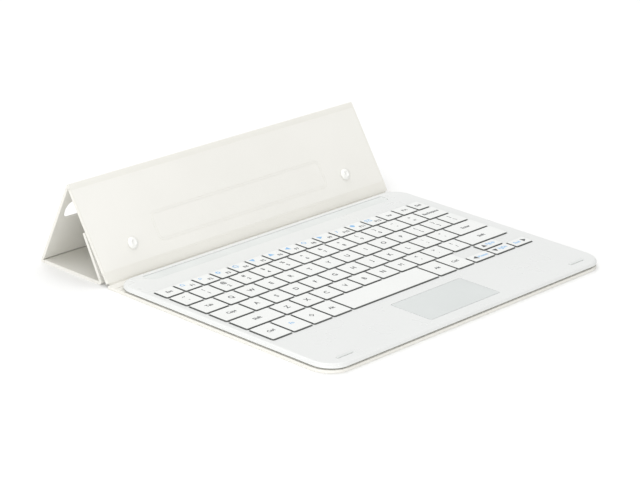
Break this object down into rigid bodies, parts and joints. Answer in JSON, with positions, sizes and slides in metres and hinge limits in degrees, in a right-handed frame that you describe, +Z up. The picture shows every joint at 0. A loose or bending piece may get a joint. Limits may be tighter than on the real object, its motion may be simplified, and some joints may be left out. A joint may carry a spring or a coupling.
{
  "type": "tablet keyboard case",
  "caption": "Thin folio case with a built-in keyboard and touchpad; its hinged back folds into a triangular stand that props a tablet up behind the keys.",
  "frame": {"origin": "under the middle of the whole case, on the surface it stands on", "axes": "+X to the right along the keyboard rows, +Y from the typist towards the stand, +Z up"},
  "size_m": [0.238, 0.2176, 0.051],
  "materials": {
    "ivory_cover_skin": "fine-grained coated leatherette, satin",
    "ivory_lining": "smooth ivory lining sheet, matt",
    "grey_board": "pressed grey board",
    "sheet_steel": "rolled sheet steel",
    "flexible_magnet": "rubber-bonded magnet strip",
    "gloss_white_casing": "moulded, gloss white",
    "matt_white_tray": "moulded, matt white",
    "white_keycap": "satin white with printed legends",
    "touchpad_surface": "silk-matt pale grey",
    "soft_grey_pad": "matt silicone",
    "white_stud": "moulded, satin white",
    "clear_film": "clear polyester film",
    "green_circuit": "solder-masked circuit laminate",
    "foil_cell": "foil pouch cell",
    "milky_lens": "translucent light window"
  },
  "bodies": {
    "base": {"base_cover": "ivory_cover_skin", "keyboard_top_casing": "gloss_white_casing", "keyboard_bottom_tray": "matt_white_tray", "key_plate": "sheet_steel", "dome_sheet": "clear_film", "circuit_board": "green_circuit", "battery": "foil_cell", "charge_socket": "sheet_steel", "rest_pad": "soft_grey_pad", "front_bumper_left": "soft_grey_pad", "front_bumper_right": "soft_grey_pad", "indicator_lens": "milky_lens"},
    "spine": {"spine_panel": "ivory_cover_skin", "spine_fold": "ivory_cover_skin"},
    "front_panel": {"front_panel_skin": "ivory_cover_skin", "front_panel_board": "sheet_steel", "front_panel_lining": "ivory_lining", "crease_fold": "ivory_cover_skin", "snap_stud_left": "white_stud", "snap_stud_right": "white_stud"},
    "rear_panel": {"rear_panel_skin": "ivory_cover_skin", "rear_panel_board": "grey_board", "rear_panel_lining": "ivory_lining", "ridge_fold": "ivory_cover_skin"},
    "floor_panel": {"floor_panel_skin": "ivory_cover_skin", "floor_panel_board": "grey_board", "floor_panel_lining": "ivory_lining", "heel_fold": "ivory_cover_skin"},
    "flap": {"flap_panel_skin": "ivory_cover_skin", "flap_panel_magnet_strip": "flexible_magnet", "flap_panel_lining": "ivory_lining", "toe_fold": "ivory_cover_skin"},
    "touchpad": {"touchpad": "touchpad_surface"},
    "power_switch": {"power_switch": "matt_white_tray"},
    "backspace_key": {"backspace_key": "white_keycap"},
    "caps_key": {"caps_key": "white_keycap"},
    "down_arrow_key": {"down_arrow_key": "white_keycap"},
    "enter_key": {"enter_key": "white_keycap"},
    "function_keys_left": {"function_keys_left": "white_keycap"},
    "function_keys_middle": {"function_keys_middle": "white_keycap"},
    "function_keys_right": {"function_keys_right": "white_keycap"},
    "home_keys_left": {"home_keys_left": "white_keycap"},
    "home_keys_right": {"home_keys_right": "white_keycap"},
    "left_arrow_key": {"left_arrow_key": "white_keycap"},
    "left_modifier_keys": {"left_modifier_keys": "white_keycap"},
    "left_shift_key": {"left_shift_key": "white_keycap"},
    "lower_keys_left": {"lower_keys_left": "white_keycap"},
    "lower_keys_right": {"lower_keys_right": "white_keycap"},
    "number_keys_left": {"number_keys_left": "white_keycap"},
    "number_keys_middle": {"number_keys_middle": "white_keycap"},
    "number_keys_right": {"number_keys_right": "white_keycap"},
    "right_arrow_key": {"right_arrow_key": "white_keycap"},
    "right_modifier_keys": {"right_modifier_keys": "white_keycap"},
    "right_shift_key": {"right_shift_key": "white_keycap"},
    "space_key": {"space_key": "white_keycap"},
    "tab_key": {"tab_key": "white_keycap"},
    "up_arrow_key": {"up_arrow_key": "white_keycap"},
    "upper_keys_left": {"upper_keys_left": "white_keycap"},
    "upper_keys_middle": {"upper_keys_middle": "white_keycap"},
    "upper_keys_right": {"upper_keys_right": "white_keycap"}
  },
  "joints": [
    {"name": "spine_hinge", "type": "hinge", "parent": "base", "child": "spine", "pos_m": [0, 0.05494, 0.0009], "axis": [1, 0, 0], "range_deg": [0, 32.5]},
    {"name": "front_panel_hinge", "type": "hinge", "parent": "spine", "child": "front_panel", "pos_m": [0, 0.05779, 0.00537], "axis": [1, 0, 0], "range_deg": [0, 79]},
    {"name": "rear_panel_hinge", "type": "hinge", "parent": "front_panel", "child": "rear_panel", "pos_m": [0, 0.08798, 0.05014], "axis": [1, 0, 0], "range_deg": [0, 124]},
    {"name": "floor_panel_hinge", "type": "hinge", "parent": "rear_panel", "child": "floor_panel", "pos_m": [0, 0.10786, 0.0009], "axis": [1, 0, 0], "range_deg": [-5, 111]},
    {"name": "flap_hinge", "type": "hinge", "parent": "floor_panel", "child": "flap", "pos_m": [0, 0.06186, 0.0018], "axis": [1, 0, 0], "range_deg": [-57.5, 0]},
    {"name": "touchpad_click", "type": "hinge", "parent": "base", "child": "touchpad", "pos_m": [0, -0.07256, 0.0047], "axis": [1, 0, 0], "range_deg": [0, 0.6], "stiffness_Nm_per_rad": 4, "springref_deg": -0.17},
    {"name": "power_switch_slide", "type": "slide", "parent": "base", "child": "power_switch", "axis": [0, 1, 0], "range_m": [0, 0.002]},
    {"name": "backspace_key_press", "type": "slide", "parent": "base", "child": "backspace_key", "axis": [0, 0, 1], "range_m": [-0.0009, 0], "stiffness_N_per_m": 500, "springref_m": 0.0006},
    {"name": "caps_key_press", "type": "slide", "parent": "base", "child": "caps_key", "axis": [0, 0, 1], "range_m": [-0.0009, 0], "stiffness_N_per_m": 500, "springref_m": 0.0006},
    {"name": "down_arrow_key_press", "type": "slide", "parent": "base", "child": "down_arrow_key", "axis": [0, 0, 1], "range_m": [-0.0009, 0], "stiffness_N_per_m": 500, "springref_m": 0.0006},
    {"name": "enter_key_press", "type": "slide", "parent": "base", "child": "enter_key", "axis": [0, 0, 1], "range_m": [-0.0009, 0], "stiffness_N_per_m": 500, "springref_m": 0.0006},
    {"name": "function_keys_left_press", "type": "slide", "parent": "base", "child": "function_keys_left", "axis": [0, 0, 1], "range_m": [-0.0009, 0], "stiffness_N_per_m": 500, "springref_m": 0.0006},
    {"name": "function_keys_middle_press", "type": "slide", "parent": "base", "child": "function_keys_middle", "axis": [0, 0, 1], "range_m": [-0.0009, 0], "stiffness_N_per_m": 500, "springref_m": 0.0006},
    {"name": "function_keys_right_press", "type": "slide", "parent": "base", "child": "function_keys_right", "axis": [0, 0, 1], "range_m": [-0.0009, 0], "stiffness_N_per_m": 500, "springref_m": 0.0006},
    {"name": "home_keys_left_press", "type": "slide", "parent": "base", "child": "home_keys_left", "axis": [0, 0, 1], "range_m": [-0.0009, 0], "stiffness_N_per_m": 500, "springref_m": 0.0006},
    {"name": "home_keys_right_press", "type": "slide", "parent": "base", "child": "home_keys_right", "axis": [0, 0, 1], "range_m": [-0.0009, 0], "stiffness_N_per_m": 500, "springref_m": 0.0006},
    {"name": "left_arrow_key_press", "type": "slide", "parent": "base", "child": "left_arrow_key", "axis": [0, 0, 1], "range_m": [-0.0009, 0], "stiffness_N_per_m": 500, "springref_m": 0.0006},
    {"name": "left_modifier_keys_press", "type": "slide", "parent": "base", "child": "left_modifier_keys", "axis": [0, 0, 1], "range_m": [-0.0009, 0], "stiffness_N_per_m": 500, "springref_m": 0.0006},
    {"name": "left_shift_key_press", "type": "slide", "parent": "base", "child": "left_shift_key", "axis": [0, 0, 1], "range_m": [-0.0009, 0], "stiffness_N_per_m": 500, "springref_m": 0.0006},
    {"name": "lower_keys_left_press", "type": "slide", "parent": "base", "child": "lower_keys_left", "axis": [0, 0, 1], "range_m": [-0.0009, 0], "stiffness_N_per_m": 500, "springref_m": 0.0006},
    {"name": "lower_keys_right_press", "type": "slide", "parent": "base", "child": "lower_keys_right", "axis": [0, 0, 1], "range_m": [-0.0009, 0], "stiffness_N_per_m": 500, "springref_m": 0.0006},
    {"name": "number_keys_left_press", "type": "slide", "parent": "base", "child": "number_keys_left", "axis": [0, 0, 1], "range_m": [-0.0009, 0], "stiffness_N_per_m": 500, "springref_m": 0.0006},
    {"name": "number_keys_middle_press", "type": "slide", "parent": "base", "child": "number_keys_middle", "axis": [0, 0, 1], "range_m": [-0.0009, 0], "stiffness_N_per_m": 500, "springref_m": 0.0006},
    {"name": "number_keys_right_press", "type": "slide", "parent": "base", "child": "number_keys_right", "axis": [0, 0, 1], "range_m": [-0.0009, 0], "stiffness_N_per_m": 500, "springref_m": 0.0006},
    {"name": "right_arrow_key_press", "type": "slide", "parent": "base", "child": "right_arrow_key", "axis": [0, 0, 1], "range_m": [-0.0009, 0], "stiffness_N_per_m": 500, "springref_m": 0.0006},
    {"name": "right_modifier_keys_press", "type": "slide", "parent": "base", "child": "right_modifier_keys", "axis": [0, 0, 1], "range_m": [-0.0009, 0], "stiffness_N_per_m": 500, "springref_m": 0.0006},
    {"name": "right_shift_key_press", "type": "slide", "parent": "base", "child": "right_shift_key", "axis": [0, 0, 1], "range_m": [-0.0009, 0], "stiffness_N_per_m": 500, "springref_m": 0.0006},
    {"name": "space_key_press", "type": "slide", "parent": "base", "child": "space_key", "axis": [0, 0, 1], "range_m": [-0.0009, 0], "stiffness_N_per_m": 500, "springref_m": 0.0006},
    {"name": "tab_key_press", "type": "slide", "parent": "base", "child": "tab_key", "axis": [0, 0, 1], "range_m": [-0.0009, 0], "stiffness_N_per_m": 500, "springref_m": 0.0006},
    {"name": "up_arrow_key_press", "type": "slide", "parent": "base", "child": "up_arrow_key", "axis": [0, 0, 1], "range_m": [-0.0009, 0], "stiffness_N_per_m": 500, "springref_m": 0.0006},
    {"name": "upper_keys_left_press", "type": "slide", "parent": "base", "child": "upper_keys_left", "axis": [0, 0, 1], "range_m": [-0.0009, 0], "stiffness_N_per_m": 500, "springref_m": 0.0006},
    {"name": "upper_keys_middle_press", "type": "slide", "parent": "base", "child": "upper_keys_middle", "axis": [0, 0, 1], "range_m": [-0.0009, 0], "stiffness_N_per_m": 500, "springref_m": 0.0006},
    {"name": "upper_keys_right_press", "type": "slide", "parent": "base", "child": "upper_keys_right", "axis": [0, 0, 1], "range_m": [-0.0009, 0], "stiffness_N_per_m": 500, "springref_m": 0.0006}
  ]
}
